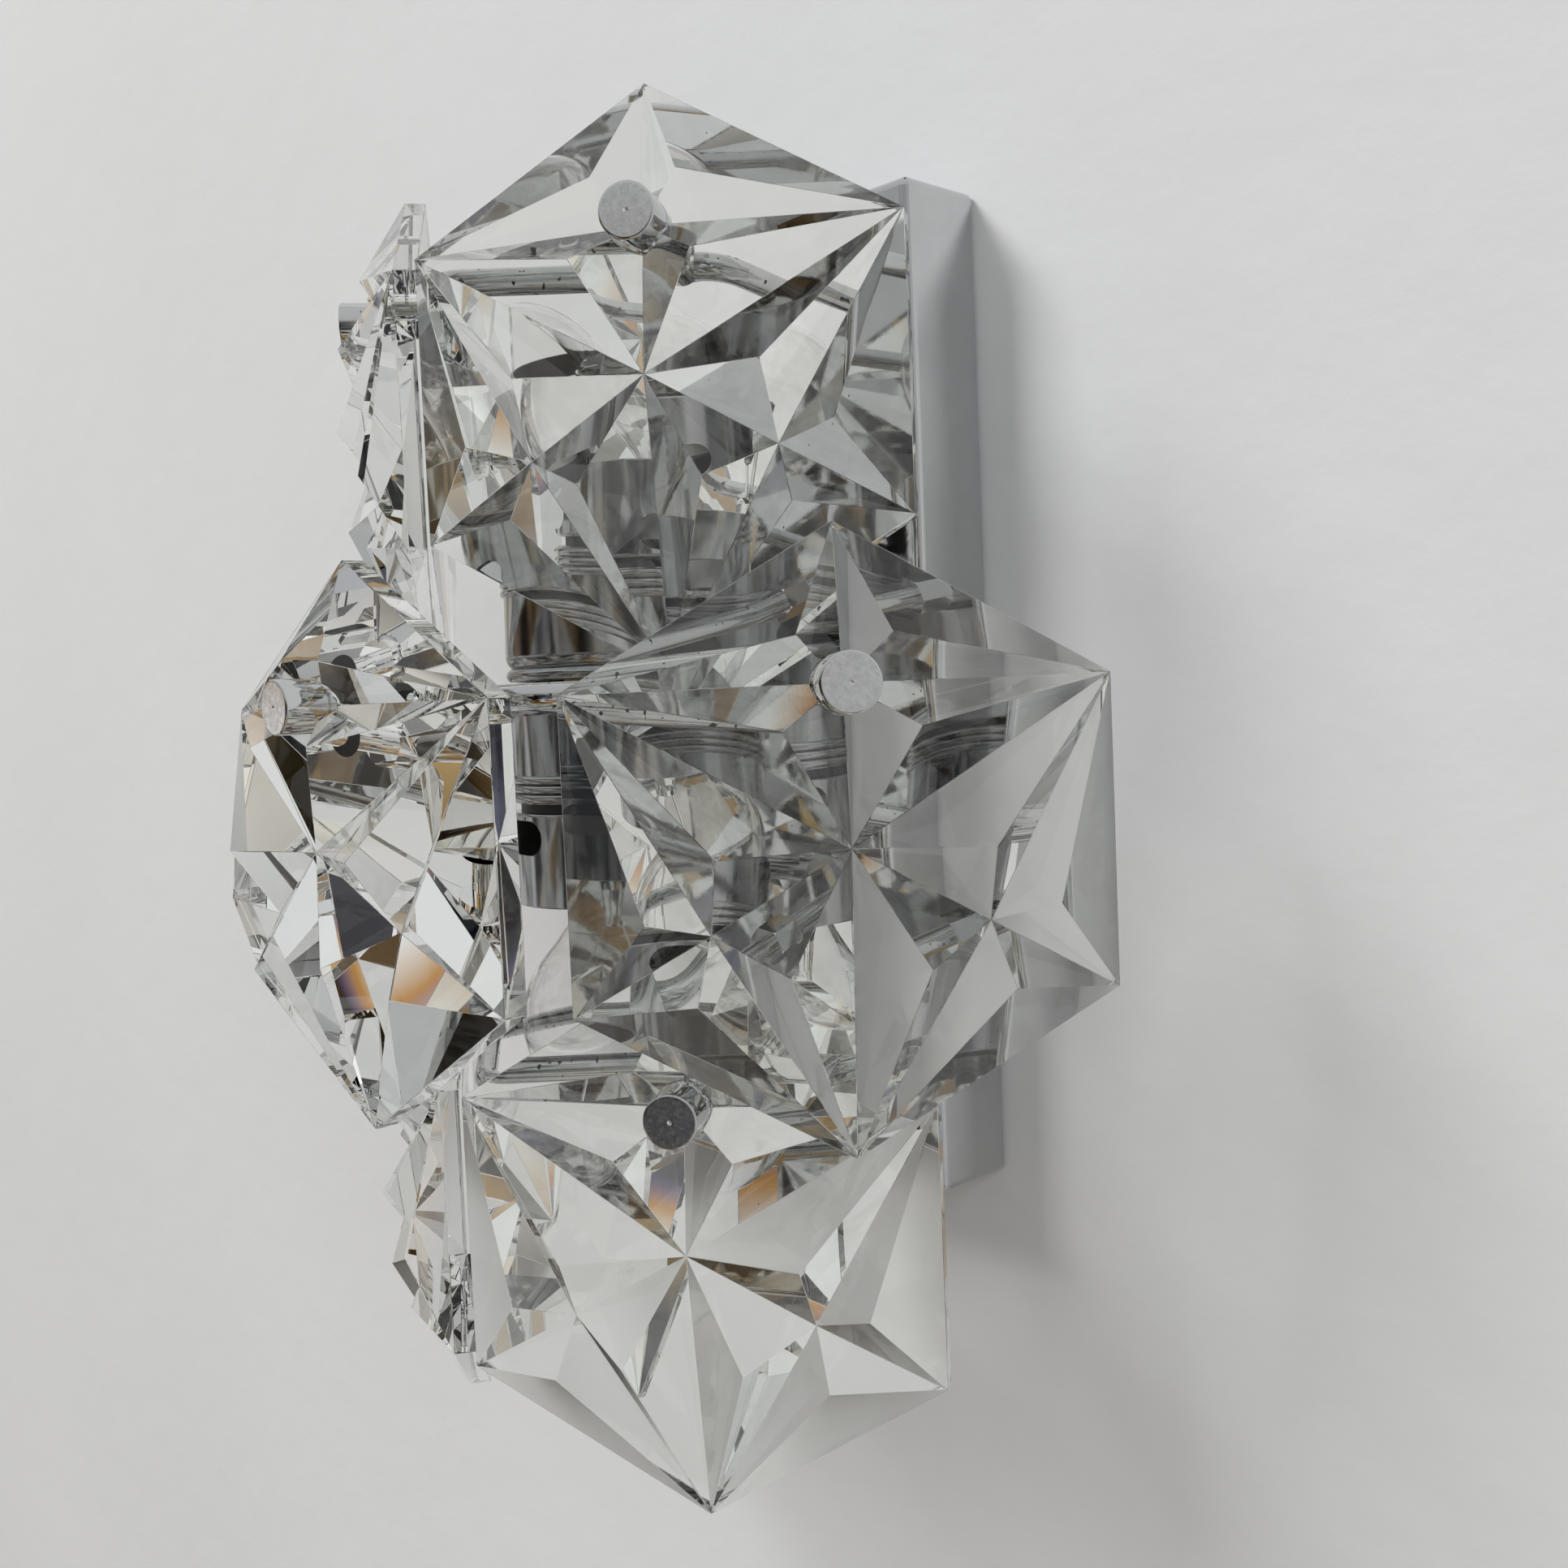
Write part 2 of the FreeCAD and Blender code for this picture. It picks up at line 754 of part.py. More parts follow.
def terminal_block():
    """Three way terminal block on the wall plate, with its wire ways and screw wells."""
    body = block((-block_half, block_front, block_foot), (block_half, -plate_thickness, block_top))
    through = block_top - block_foot + 2.0
    for number in (-1, 0, 1):
        x = number * way_spacing
        body = body.cut(cylinder(way_radius, (x, way_depth, block_foot - 1), (0, 0, 1), through))
        for height in clamp_rows:
            start = (x, way_depth, height)
            body = body.cut(cylinder(clamp_radius + 0.1, start, (0, -1, 0), way_depth - block_front + 1))
    return body


def terminal_screws():
    screws = []
    for number in (-1, 0, 1):
        for height in clamp_rows:
            start = (number * way_spacing, way_depth - way_radius - 0.1, height)
            screws.append(cylinder(clamp_radius, start, (0, -1, 0), 3.0))
    return screws


def lamp_leads(column):
    """Two wires from one way of the terminal block, through the tube and up and down to the
    sockets."""
    wires = []
    for side in (-1, 1):
        across = column * 1.1
        level = lamp_height + side * 1.1
        way = Vector(column * (way_spacing - side * lead_radius), way_depth, block_foot + 1.0)
        drop = Vector(way.x, way_depth, level)
        mouth = Vector(across, way_depth, level)
        turn = Vector(across, -lamp_reach, level)
        end = Vector(across, -lamp_reach, lamp_height + side * (contact_foot - lead_floor - 0.1))
        wires.append(swept([way, drop, mouth, turn, end], [3.0, 3.0, 1.8], lead_radius))
    return wires


def earth_tag():
    """Earth screw and ring tag on the wall plate."""
    head = cylinder(3.2, (earth_side, -plate_thickness - tag_thickness, earth_height), (0, -1, 0), 2.2)
    tag = cylinder(tag_radius, (earth_side, -plate_thickness, earth_height), (0, -1, 0), tag_thickness)
    return head.fuse(tag).removeSplitter()


# ---- assembly ----------------------------------------------------------------------------------


def main():
    os.makedirs("parts", exist_ok=True)
    save("wall_plate", wall_plate())
    save("back_box", back_box())
    save("box_screws", Part.makeCompound(box_screws()))

    hoop_top = hoop(by_name["top_left"], by_name["top_right"])
    hoop_bottom = hoop(by_name["bottom_left"], by_name["bottom_right"])
    bar = front_bar()
    save("hoop_top", hoop_top)
    save("hoop_bottom", hoop_bottom)
    save("front_bar", bar)
    save("middle_legs", Part.makeCompound(middle_legs(bar)))

    carriers = {"top": hoop_top, "middle": bar, "bottom": hoop_bottom}
    studs = []
    caps = []
    glass = crystal()
    sleeve_bush = crystal_bush()
    nut = cap_nut()
    post = stud()
    for station in stations:
        save("crystal_" + station.name, station.place(glass))
        save("bush_" + station.name, station.place(sleeve_bush))
        row = station.name.split("_")[0]
        studs.append(station.place(post).cut(carriers[row]))
        caps.append(station.place(nut))
    save("crystal_studs", Part.makeCompound(studs))
    save("cap_nuts", Part.makeCompound(caps))

    outside = []
    inside = []
    washers = []
    bore = rod_radius + seat_gap
    for x, height in leg_places():
        outside.append(hexagon_nut(hex_nut_flats, bore, (x, box_front, height), (0, -1, 0), hex_nut_height))
        washers.append(ring(5.0, bore, (x, box_front + box_wall, height), (0, 1, 0), 0.8))
        inner_start = box_front + box_wall + 0.8
        inside.append(hexagon_nut(hex_nut_flats, bore, (x, inner_start, height), (0, 1, 0), hex_nut_height))
    save("rod_nuts", Part.makeCompound(outside))
    save("lock_nuts", Part.makeCompound(inside))
    save("lock_washers", Part.makeCompound(washers))

    save("lamp_tube", lamp_tube())
    save("tube_nuts", Part.makeCompound(tube_nuts()))
    save("tee_piece", lamp_place(tee_piece(), True))
    halves = {
        "sleeve": sleeve,
        "spacer": spacer,
        "cup": cup,
        "shade_ring": shade_ring,
        "socket": socket,
        "screw_shell": screw_shell,
        "contact": contact,
        "nipple": nipple,
        "bulb_glass": bulb_glass,
        "bulb_cap": bulb_cap,
        "bulb_mount": bulb_mount,
        "filament": filament,
    }
    for name, make in halves.items():
        shape = make()
        save("upper_" + name, lamp_place(shape, True))
        save("lower_" + name, lamp_place(shape, False))

    save("terminal_block", terminal_block())
    save("terminal_screws", Part.makeCompound(terminal_screws()))
    save("live_leads", Part.makeCompound(lamp_leads(-1)))
    save("neutral_leads", Part.makeCompound(lamp_leads(1)))
    save("earth_tag", earth_tag())


main()
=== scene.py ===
import bpy
import bmesh
import json
import math
from mathutils import Matrix, Vector


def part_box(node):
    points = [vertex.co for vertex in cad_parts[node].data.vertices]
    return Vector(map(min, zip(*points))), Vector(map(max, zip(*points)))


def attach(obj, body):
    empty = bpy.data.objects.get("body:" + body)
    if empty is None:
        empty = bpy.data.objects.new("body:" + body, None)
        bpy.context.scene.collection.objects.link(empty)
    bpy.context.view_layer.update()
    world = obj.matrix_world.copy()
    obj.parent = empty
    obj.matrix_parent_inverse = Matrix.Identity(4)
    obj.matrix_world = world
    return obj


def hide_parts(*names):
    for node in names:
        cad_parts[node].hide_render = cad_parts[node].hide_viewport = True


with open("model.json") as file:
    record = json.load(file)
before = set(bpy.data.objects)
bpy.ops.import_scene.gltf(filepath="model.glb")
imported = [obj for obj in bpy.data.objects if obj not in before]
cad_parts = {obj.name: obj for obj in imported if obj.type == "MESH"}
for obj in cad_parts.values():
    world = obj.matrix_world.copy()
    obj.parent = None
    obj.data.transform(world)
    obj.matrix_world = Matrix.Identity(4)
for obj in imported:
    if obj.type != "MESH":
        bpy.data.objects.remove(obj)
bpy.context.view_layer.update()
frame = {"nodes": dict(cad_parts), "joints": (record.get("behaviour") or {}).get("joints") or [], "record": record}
nodes = frame["nodes"]
mm = 0.001


def newMaterial(name):
    material = bpy.data.materials.new(name)
    material.use_nodes = True
    tree = material.node_tree
    shader = tree.nodes["Principled BSDF"]
    return material, tree, shader


def objectCoords(tree):
    coords = tree.nodes.new("ShaderNodeTexCoord")
    return coords.outputs["Object"]


def noise(tree, vector, scale, detail=2.0, roughness=0.5):
    node = tree.nodes.new("ShaderNodeTexNoise")
    node.inputs["Scale"].default_value = scale
    node.inputs["Detail"].default_value = detail
    node.inputs["Roughness"].default_value = roughness
    tree.links.new(vector, node.inputs["Vector"])
    return node.outputs["Fac"]


def ramp(tree, factor, stops):
    node = tree.nodes.new("ShaderNodeValToRGB")
    band = node.color_ramp
    band.elements[0].position, band.elements[0].color = stops[0]
    band.elements[1].position, band.elements[1].color = stops[-1]
    for position, colour in stops[1:-1]:
        element = band.elements.new(position)
        element.color = colour
    tree.links.new(factor, node.inputs["Fac"])
    return node.outputs["Color"]


def twoTones(tree, factor, dark, light):
    # noise rarely leaves the middle of its range, so the tones are reached before its ends
    return ramp(tree, factor, [(0.3, (*dark, 1)), (0.7, (*light, 1))])


def spread(tree, factor, low, high, fromLow=0.3, fromHigh=0.7):
    node = tree.nodes.new("ShaderNodeMapRange")
    node.inputs["From Min"].default_value = fromLow
    node.inputs["From Max"].default_value = fromHigh
    node.inputs["To Min"].default_value = low
    node.inputs["To Max"].default_value = high
    tree.links.new(factor, node.inputs["Value"])
    return node.outputs["Result"]


def bump(tree, height, strength, distance, normal=None):
    node = tree.nodes.new("ShaderNodeBump")
    node.inputs["Strength"].default_value = strength
    node.inputs["Distance"].default_value = distance
    tree.links.new(height, node.inputs["Height"])
    if normal is not None:
        tree.links.new(normal, node.inputs["Normal"])
    return node.outputs["Normal"]


def maths(tree, operation, *values):
    # each value is a number or an output
    node = tree.nodes.new("ShaderNodeMath")
    node.operation = operation
    for socket, value in zip(node.inputs, values):
        if isinstance(value, float):
            socket.default_value = value
        else:
            tree.links.new(value, socket)
    return node.outputs["Value"]


def blend(tree, factor, first, second):
    # first where the factor is 0, and second, a colour or an output, where it is 1
    node = tree.nodes.new("ShaderNodeMix")
    node.data_type = "RGBA"
    tree.links.new(factor, node.inputs[0])
    tree.links.new(first, node.inputs[6])
    if isinstance(second, tuple):
        node.inputs[7].default_value = second
    else:
        tree.links.new(second, node.inputs[7])
    return node.outputs[2]


def grey(value):
    return (value, value, value)


def letLampsThrough(tree, shader, share):
    # the lamps' light passes straight through glass, with this share left after each surface
    path = tree.nodes.new("ShaderNodeLightPath")
    clear = tree.nodes.new("ShaderNodeBsdfTransparent")
    clear.inputs["Color"].default_value = (*grey(share), 1)
    mix = tree.nodes.new("ShaderNodeMixShader")
    tree.links.new(path.outputs["Is Shadow Ray"], mix.inputs["Fac"])
    tree.links.new(shader.outputs["BSDF"], mix.inputs[1])
    tree.links.new(clear.outputs["BSDF"], mix.inputs[2])
    tree.links.new(mix.outputs["Shader"], tree.nodes["Material Output"].inputs["Surface"])


def clearFinish(name, look):
    material, tree, shader = newMaterial(name)
    shader.inputs["Base Color"].default_value = (*look["tint"], 1)
    shader.inputs["Roughness"].default_value = 0.0
    shader.inputs["IOR"].default_value = look["ior"]
    shader.inputs["Transmission Weight"].default_value = 1.0
    wavy = noise(tree, objectCoords(tree), look["waveSize"], look["waveDetail"])
    tree.links.new(bump(tree, wavy, look["wave"], look["waveHeight"]), shader.inputs["Normal"])
    letLampsThrough(tree, shader, look["lampShare"])
    return material


crystalLook = {
    "ior": 1.56,
    "tint": (0.965, 0.975, 0.950),
    "wave": 0.06,            # how much the pressed facets waver
    "waveHeight": 2.0 * mm,
    "waveSize": 30.0,
    "waveDetail": 0.0,
    "lampShare": 0.82,
}


def thinGlass(name, tint, ior):
    look = {"wave": 0.1, "waveHeight": 0.5 * mm, "waveSize": 60.0, "waveDetail": 1.0, "lampShare": 0.95}
    return clearFinish(name, {"tint": tint, "ior": ior, **look})


platedLook = {
    "hue": (0.985, 1.0, 1.005),
    "smudge": 0.9,           # how bright a smudged patch is, as a share
    "pitColour": 0.06,
    "pitSize": 620.0,        # noise scale: a pit is about a millimetre
    "pitEdge": 0.025,
    "pitRough": 0.4,
    "fineSize": 900.0,
    "fineHeight": 0.05 * mm,
}
platedLevels = {
    "chrome": {
        "level": 0.66, "smudgeSize": 60.0, "rough": (0.02, 0.05), "relief": 0.08, "pitsFrom": 0.80,
    },
    "rodChrome": {
        "level": 0.62, "smudgeSize": 140.0, "rough": (0.05, 0.13), "relief": 0.25, "pitsFrom": 0.70,
    },
    "shellChrome": {
        "level": 0.42, "smudgeSize": 45.0, "rough": (0.09, 0.17), "relief": 0.10, "pitsFrom": 0.80,
    },
}


def platedFinish(name):
    # smudges change the plating's gloss, and pits open where the noise passes pitsFrom
    look = platedLevels[name]
    material, tree, shader = newMaterial(name)
    vector = objectCoords(tree)
    blotch = noise(tree, vector, look["smudgeSize"], 6.0, 0.6)
    fine = noise(tree, vector, platedLook["fineSize"], 4.0, 0.6)
    speckle = noise(tree, vector, platedLook["pitSize"], 1.0, 0.4)
    pit = spread(tree, speckle, 0.0, 1.0, look["pitsFrom"], look["pitsFrom"] + platedLook["pitEdge"])
    clean = [look["level"] * channel for channel in platedLook["hue"]]
    smudged = [platedLook["smudge"] * channel for channel in clean]
    plated = twoTones(tree, blotch, smudged, clean)
    pitted = blend(tree, pit, plated, (*grey(platedLook["pitColour"]), 1))
    gloss = spread(tree, blotch, *look["rough"])
    dulled = maths(tree, "MULTIPLY_ADD", pit, platedLook["pitRough"], gloss)
    shader.inputs["Metallic"].default_value = 1.0
    tree.links.new(pitted, shader.inputs["Base Color"])
    tree.links.new(dulled, shader.inputs["Roughness"])
    tree.links.new(bump(tree, fine, look["relief"], platedLook["fineHeight"]), shader.inputs["Normal"])
    return material


turnedLook = {
    "metal": 0.95,
    "shades": (0.72, 0.97),
    "shadeSize": 900.0,
    "grainSize": 1400.0,
    "rough": (0.17, 0.28),
    "relief": 0.2,
    "grainHeight": 0.03 * mm,
}


def turnedFace():
    # end face of a cap nut: it still mirrors the room, with a grain from the tool
    material, tree, shader = newMaterial("turnedFace")
    vector = objectCoords(tree)
    grain = noise(tree, vector, turnedLook["grainSize"], 2.0, 0.5)
    blotch = noise(tree, vector, turnedLook["shadeSize"], 5.0, 0.7)
    dark, light = turnedLook["shades"]
    relief = bump(tree, grain, turnedLook["relief"], turnedLook["grainHeight"])
    shader.inputs["Metallic"].default_value = turnedLook["metal"]
    tree.links.new(twoTones(tree, blotch, grey(dark), grey(light)), shader.inputs["Base Color"])
    tree.links.new(spread(tree, grain, *turnedLook["rough"]), shader.inputs["Roughness"])
    tree.links.new(relief, shader.inputs["Normal"])
    return material


plainLook = {
    "roughSpread": 0.15,     # how far the roughness goes up and down, as a share
    "fineness": 6.0,         # how much finer the relief is than the clouds of tone
    "fineHeight": 0.2 * mm,
}


def plainFinish(name, dark, light, grain, roughness, metallic=0.0, relief=0.1):
    material, tree, shader = newMaterial(name)
    vector = objectCoords(tree)
    cloud = noise(tree, vector, grain, 5.0, 0.6)
    fine = noise(tree, vector, grain * plainLook["fineness"], 3.0)
    smooth, rough = (roughness * (1 + way * plainLook["roughSpread"]) for way in (-1, 1))
    shader.inputs["Metallic"].default_value = metallic
    tree.links.new(twoTones(tree, cloud, dark, light), shader.inputs["Base Color"])
    tree.links.new(spread(tree, cloud, smooth, rough), shader.inputs["Roughness"])
    tree.links.new(bump(tree, fine, relief, plainLook["fineHeight"]), shader.inputs["Normal"])
    return material


# clear: tint and index of refraction; plain: dark and light tone, noise scale, roughness, metal, relief
finishes = {
    "crystal_glass": clearFinish("crystalGlass", crystalLook),
    "clear_plastic": thinGlass("clearPlastic", (0.96, 0.95, 0.92), 1.46),
    "bulb_glass": thinGlass("bulbGlass", (0.99, 0.99, 0.985), 1.45),
    "stem_glass": thinGlass("stemGlass", (0.94, 0.96, 0.95), 1.5),
    "zinc_steel": plainFinish("zincSteel", (0.50, 0.51, 0.52), (0.64, 0.64, 0.62), 90.0, 0.38, 1.0, 0.2),
    "brass": plainFinish("turnedBrass", (0.62, 0.47, 0.20), (0.78, 0.62, 0.30), 120.0, 0.32, 1.0, 0.2),
    "black_plastic": plainFinish("blackPlastic", (0.012, 0.012, 0.012), (0.025, 0.025, 0.026), 160.0, 0.45),
    # inner faces of the lamp shells: dull metal painted near-black, painted shade
    "shellInside": plainFinish("shellInside", (0.03, 0.03, 0.028), (0.06, 0.058, 0.055), 120.0, 0.6, 0.6),
    "white_ceramic": plainFinish("whiteCeramic", (0.74, 0.73, 0.69), (0.82, 0.81, 0.78), 80.0, 0.22),
    "nickel": plainFinish("nickelSheet", (0.62, 0.60, 0.56), (0.74, 0.72, 0.68), 150.0, 0.2, 1.0, 0.15),
    "tungsten": plainFinish("tungstenWire", (0.16, 0.155, 0.15), (0.30, 0.29, 0.28), 300.0, 0.4, 1.0),
    "white_plastic": plainFinish("whitePlastic", (0.70, 0.70, 0.67), (0.80, 0.80, 0.77), 90.0, 0.4),
    "brown_wire": plainFinish("brownWire", (0.16, 0.08, 0.04), (0.24, 0.12, 0.07), 200.0, 0.4),
    "blue_wire": plainFinish("blueWire", (0.05, 0.14, 0.36), (0.08, 0.20, 0.48), 200.0, 0.4),
}
for name in platedLevels:
    finishes[name] = platedFinish(name)
print("finishes made:", len(finishes))


def dress(piece, *materials):
    # clearing the slots would also lose which face has which material
    chosen = [face.material_index for face in piece.data.polygons]
    piece.data.materials.clear()
    for material in materials:
        piece.data.materials.append(material)
    if len(materials) > 1:
        for face, index in zip(piece.data.polygons, chosen):
            face.material_index = min(index, len(materials) - 1)


for entry in frame["record"]["subparts"]:
    dress(nodes[entry["node"]], finishes[entry["material_slot"]])
for rod in ("hoop_top", "hoop_bottom", "front_bar", "middle_legs", "crystal_studs"):
    dress(nodes[rod], finishes["rodChrome"])
print("parts dressed:", len(nodes))


def addPiece(name, mesh, body, *replaced):
    piece = bpy.data.objects.new(name, mesh)
    bpy.context.scene.collection.objects.link(piece)
    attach(piece, body)
    if replaced:
        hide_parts(*replaced)
    return piece


crystalEdges = {
    "facetRound": 0.11 * mm,
    "rimRound": 0.35 * mm,   # the girdle is fire polished
    "sharpFrom": 6.0,        # degrees
    "shortest": 3 * mm,      # shorter edges stay as they are
    "flatWithin": 0.6,       # degrees
    "weld": 0.002 * mm,
}


def mouldedCrystal(place):
    # the edges are rounded a little: the facets barely, the rim more
    mesh = nodes["crystal_" + place].data.copy()
    shape = bmesh.new()
    shape.from_mesh(mesh)
    bmesh.ops.remove_doubles(shape, verts=shape.verts, dist=crystalEdges["weld"])
    bmesh.ops.dissolve_limit(shape, angle_limit=math.radians(crystalEdges["flatWithin"]),
                             verts=shape.verts, edges=shape.edges)
    limit = math.radians(crystalEdges["sharpFrom"])
    outward = hinges[place]["axis"]
    for width, wanted in ((crystalEdges["rimRound"], True), (crystalEdges["facetRound"], False)):
        sharp = []
        for edge in shape.edges:
            if not edge.is_manifold or edge.calc_face_angle() < limit:
                continue
            if edge.calc_length() < crystalEdges["shortest"]:
                continue
            onRim = min(abs(face.normal.dot(outward)) for face in edge.link_faces) < 0.1
            if onRim == wanted:
                sharp.append(edge)
        bmesh.ops.bevel(shape, geom=sharp, offset=width, offset_type="OFFSET", segments=2,
                        profile=0.5, affect="EDGES", clamp_overlap=True, material=-1)
    bmesh.ops.remove_doubles(shape, verts=shape.verts, dist=crystalEdges["weld"] / 2)
    for face in shape.faces:
        face.smooth = False
    shape.to_mesh(mesh)
    shape.free()
    piece = addPiece("glass_" + place, mesh, "hanging_" + place, "crystal_" + place)
    dress(piece, finishes["crystal_glass"])


hinges = {}
for joint in frame["joints"]:
    if joint["type"] == "hinge":
        place = joint["name"].replace("_swing", "")
        hinges[place] = {"pin": Vector(joint["pos_m"]), "axis": Vector(joint["axis"]).normalized()}
for place in hinges:
    mouldedCrystal(place)
print("crystals:", len(hinges))


capNut = {
    "radius": 5.5 * mm,
    "foot": 5.5 * mm,        # above the girdle plane
    "tip": 16.2 * mm,
    "footEdge": 0.2 * mm,
    "flange": 1.4 * mm,
    "grooveDepth": 0.5 * mm,
    "grooveSide": 0.3 * mm,
    "grooveFloor": 0.4 * mm,
    "edge": 0.45 * mm,
    "rimRing": 0.1 * mm,     # keeps the round rim's shading off the flat face
    "dimpleRadius": 0.5 * mm,
    "dimpleStep": 0.25 * mm,
    "dimpleDepth": 0.4 * mm,
    "steps": 48,
}


def spunShape(outline, steps):
    # turns (radius, height) points around the z axis
    shape = bmesh.new()
    points = [shape.verts.new((radius, 0, height)) for radius, height in outline]
    edges = [shape.edges.new(pair) for pair in zip(points, points[1:])]
    bmesh.ops.spin(shape, geom=points + edges, cent=(0, 0, 0), axis=(0, 0, 1), dvec=(0, 0, 0),
                   angle=math.radians(360), steps=steps, use_merge=True)
    bmesh.ops.remove_doubles(shape, verts=shape.verts, dist=0.003 * mm)
    bmesh.ops.recalc_face_normals(shape, faces=shape.faces)
    return shape


def roundedEdge(centre, radius, start, end, steps=4):
    # points of an arc from start to end degrees
    points = []
    for step in range(steps + 1):
        angle = math.radians(start + (end - start) * step / steps)
        points.append((centre[0] + radius * math.cos(angle), centre[1] + radius * math.sin(angle)))
    return points


def nutOutline():
    radius, foot, tip, edge = capNut["radius"], capNut["foot"], capNut["tip"], capNut["edge"]
    outline = [(0, foot), (radius - capNut["footEdge"], foot), (radius, foot + capNut["footEdge"])]
    grooveRadius = radius - capNut["grooveDepth"]
    grooveStart = foot + capNut["flange"]
    floorStart = grooveStart + capNut["grooveSide"]
    floorEnd = floorStart + capNut["grooveFloor"]
    outline += [(radius, grooveStart), (grooveRadius, floorStart), (grooveRadius, floorEnd)]
    outline += [(radius, floorEnd + capNut["grooveSide"])]
    outline += roundedEdge((radius - edge, tip - edge), edge, 0, 90)
    outline += [(radius - edge - capNut["rimRing"], tip), (capNut["dimpleRadius"], tip)]
    outline += [(capNut["dimpleRadius"] / 2, tip - capNut["dimpleStep"]), (0, tip - capNut["dimpleDepth"])]
    return outline


def cappedNuts():
    faceRadius = capNut["radius"] - capNut["edge"]
    faceFrom = capNut["tip"] - capNut["dimpleDepth"] - 0.02 * mm
    whole = bmesh.new()
    for hinge in hinges.values():
        shape = spunShape(nutOutline(), capNut["steps"])
        for face in shape.faces:
            face.smooth = True
            middle = face.calc_center_median()
            face.material_index = 1 if middle.z > faceFrom and middle.xy.length < faceRadius else 0
        turn = hinge["axis"].to_track_quat("Z", "Y").to_matrix().to_4x4()
        bmesh.ops.transform(shape, verts=shape.verts, matrix=Matrix.Translation(hinge["pin"]) @ turn)
        part = bpy.data.meshes.new("oneNut")
        shape.to_mesh(part)
        shape.free()
        whole.from_mesh(part)
        bpy.data.meshes.remove(part)
    for edge in whole.edges:
        if len(edge.link_faces) == 2:
            edge.smooth = edge.calc_face_angle() < math.radians(35)
    mesh = bpy.data.meshes.new("capNuts")
    whole.to_mesh(mesh)
    whole.free()
    piece = addPiece("capNuts", mesh, "base", "cap_nuts")
    dress(piece, finishes["chrome"], turnedFace())


cappedNuts()
print("cap nuts done")


def shellPaintedDarkInside(node):
    # plated outside; inside dull unplated metal, painted near-black as the shade that falls inside the shell
    source = nodes[node]
    low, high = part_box(node)
    centre = (low + high) / 2
    mesh = source.data.copy()
    piece = addPiece(node + "Shell", mesh, "base", node)
    dress(piece, finishes["shellChrome"], finishes["shellInside"])
    for face in mesh.polygons:
        spoke = Vector((face.center.x - centre.x, face.center.y - centre.y, 0))
        if spoke.length > 0 and face.normal.dot(spoke.normalized()) < -0.2:
            # faces turned inward get the near-black painted shade
            face.material_index = 1


for node in ("upper_sleeve", "lower_sleeve", "upper_cup", "lower_cup"):
    shellPaintedDarkInside(node)
print("lamp shells done")


coil = {
    "turns": 26,
    "radius": 0.72 * mm,
    "wire": 0.13 * mm,
    "stepsPerTurn": 14,
    "sag": 0.15 * mm,
}


def coiledFilament(node, body):
    low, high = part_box(node)
    middle = (low + high) / 2
    half = (high.x - low.x) / 2 - coil["wire"]
    curve = bpy.data.curves.new(node + "Coil", "CURVE")
    curve.dimensions = "3D"
    curve.bevel_depth = coil["wire"]
    curve.bevel_resolution = 2
    count = coil["turns"] * coil["stepsPerTurn"]
    line = curve.splines.new("POLY")
    line.points.add(count)
    for step in range(count + 1):
        along = 2 * step / count - 1
        angle = 2 * math.pi * step / coil["stepsPerTurn"]
        fall = (along * along - 1) * coil["sag"]
        y = middle.y + coil["radius"] * math.cos(angle)
        z = middle.z + coil["radius"] * math.sin(angle) + fall
        line.points[step].co = (middle.x + half * along, y, z, 1)
    source = bpy.data.objects.new(node + "Line", curve)
    mesh = bpy.data.meshes.new_from_object(source)
    bpy.data.objects.remove(source)
    piece = addPiece(node + "Coil", mesh, body, node)
    dress(piece, finishes["tungsten"])


coiledFilament("upper_filament", "upper_bulb")
coiledFilament("lower_filament", "lower_bulb")
print("filaments done")


wallLook = {
    "colour": (0.72, 0.725, 0.73),
    "shade": (0.69, 0.695, 0.70),
    "shadeSize": 3.0,
    "size": 3.0,
    "behind": 0.2 * mm,      # how far the wall stands behind the box
    "grainSize": 260.0,
    "grain": 0.12,
    "grainHeight": 0.6 * mm,
    "lumpSize": 45.0,
    "lumps": 0.28,
    "lumpHeight": 1.5 * mm,
}


def plaster():
    # seen from behind the wall is clear, so that the back of the box shows
    material, tree, shader = newMaterial("plaster")
    vector = objectCoords(tree)
    cloud = noise(tree, vector, wallLook["shadeSize"], 3.0)
    grain = noise(tree, vector, wallLook["grainSize"], 4.0, 0.65)
    lumps = noise(tree, vector, wallLook["lumpSize"], 3.0, 0.5)
    tree.links.new(twoTones(tree, cloud, wallLook["shade"], wallLook["colour"]), shader.inputs["Base Color"])
    shader.inputs["Roughness"].default_value = 0.85
    relief = bump(tree, grain, wallLook["grain"], wallLook["grainHeight"])
    lumpy = bump(tree, lumps, wallLook["lumps"], wallLook["lumpHeight"], relief)
    tree.links.new(lumpy, shader.inputs["Normal"])
    geometry = tree.nodes.new("ShaderNodeNewGeometry")
    clear = tree.nodes.new("ShaderNodeBsdfTransparent")
    mix = tree.nodes.new("ShaderNodeMixShader")
    tree.links.new(geometry.outputs["Backfacing"], mix.inputs["Fac"])
    tree.links.new(shader.outputs["BSDF"], mix.inputs[1])
    tree.links.new(clear.outputs["BSDF"], mix.inputs[2])
    tree.links.new(mix.outputs["Shader"], tree.nodes["Material Output"].inputs["Surface"])
    return material


